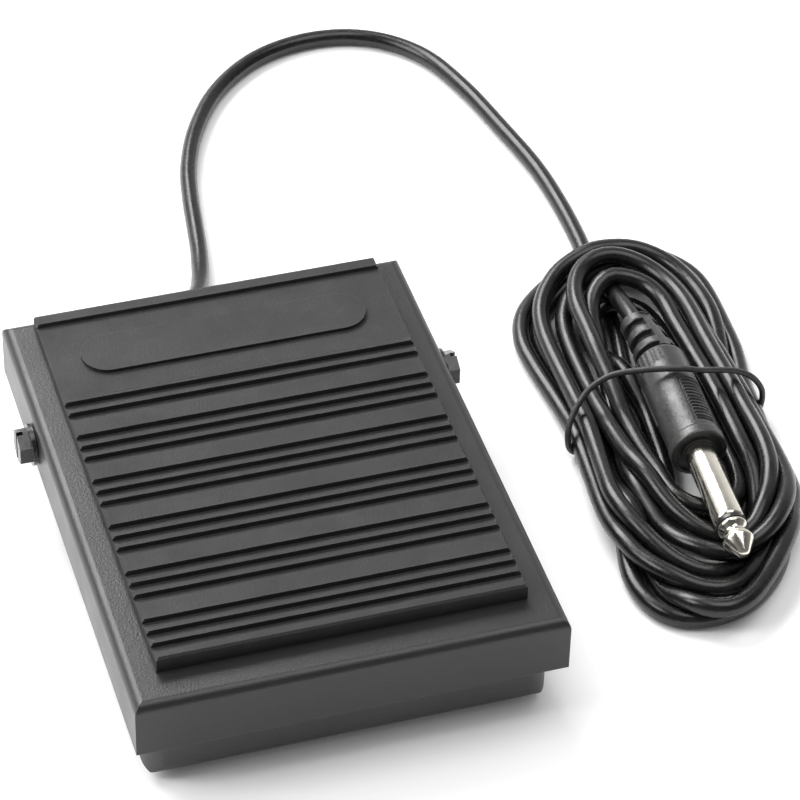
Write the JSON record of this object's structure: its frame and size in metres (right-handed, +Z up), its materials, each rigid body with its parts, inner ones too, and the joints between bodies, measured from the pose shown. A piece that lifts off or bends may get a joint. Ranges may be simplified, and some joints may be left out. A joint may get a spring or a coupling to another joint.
{
  "type": "sustain foot switch pedal",
  "caption": "Rectangular momentary foot switch: hinged folded-steel cover with ribbed rubber pad over a moulded base, tied cord and quarter-inch mono plug.",
  "frame": {"origin": "on the floor under the middle of the cover, at the bottom centre of the pedal without its cord", "axes": "+X across the pedal to the right as the player sees it, +Y along the pedal to the back where the cord leaves, +Z up"},
  "size_m": [0.1576, 0.2209, 0.0276],
  "materials": {
    "painted_steel": "satin",
    "pad_rubber": "matte",
    "zinc_steel": "satin",
    "nylon_white": "satin",
    "nylon_black": "satin",
    "black_steel": "gloss",
    "base_plastic": "satin",
    "foot_rubber": "matte",
    "spring_steel": "satin",
    "switch_plastic": "satin",
    "plunger_plastic": "satin",
    "terminal_metal": "satin",
    "lead_white": "satin",
    "lead_red": "satin",
    "cord_plastic": "gloss",
    "tie_rubber": "matte",
    "boot_plastic": "satin",
    "nickel": "polished",
    "ring_plastic": "gloss"
  },
  "bodies": {
    "base": {"base_pan": "base_plastic", "rubber_feet": "foot_rubber", "hinge_screws": "black_steel", "stop_bumpers": "foot_rubber", "return_springs": "spring_steel", "switch_body": "switch_plastic", "switch_terminals": "terminal_metal", "switch_screws": "zinc_steel", "lead_signal": "lead_white", "lead_ground": "lead_red", "cord_grommet": "cord_plastic", "cord_inner": "cord_plastic", "cord_clamp": "nylon_white", "clamp_screws": "zinc_steel", "cord_tube": "cord_plastic", "cord_hank": "cord_plastic", "cord_tie": "tie_rubber", "plug_boot": "boot_plastic", "plug_sleeve": "nickel", "plug_ring": "ring_plastic", "plug_tip": "nickel"},
    "pedal": {"top_cover": "painted_steel", "rubber_pad": "pad_rubber", "striker": "zinc_steel", "spring_cups": "nylon_white", "hinge_bushes": "nylon_black"},
    "plunger": {"switch_plunger": "plunger_plastic"}
  },
  "joints": [
    {"name": "pedal_hinge", "type": "hinge", "parent": "base", "child": "pedal", "pos_m": [0, 0.027, 0.017], "axis": [1, 0, 0], "range_deg": [0, 3.4], "stiffness_Nm_per_rad": 8, "springref_deg": -2.41, "deforming": ["return_springs"]},
    {"name": "plunger_slide", "type": "slide", "parent": "base", "child": "plunger", "axis": [0, 0, 1], "range_m": [-0.0015, 0]}
  ],
  "couplings": [
    {"joint": "plunger_slide", "follows": "pedal_hinge", "m_per_rad": -0.024}
  ]
}
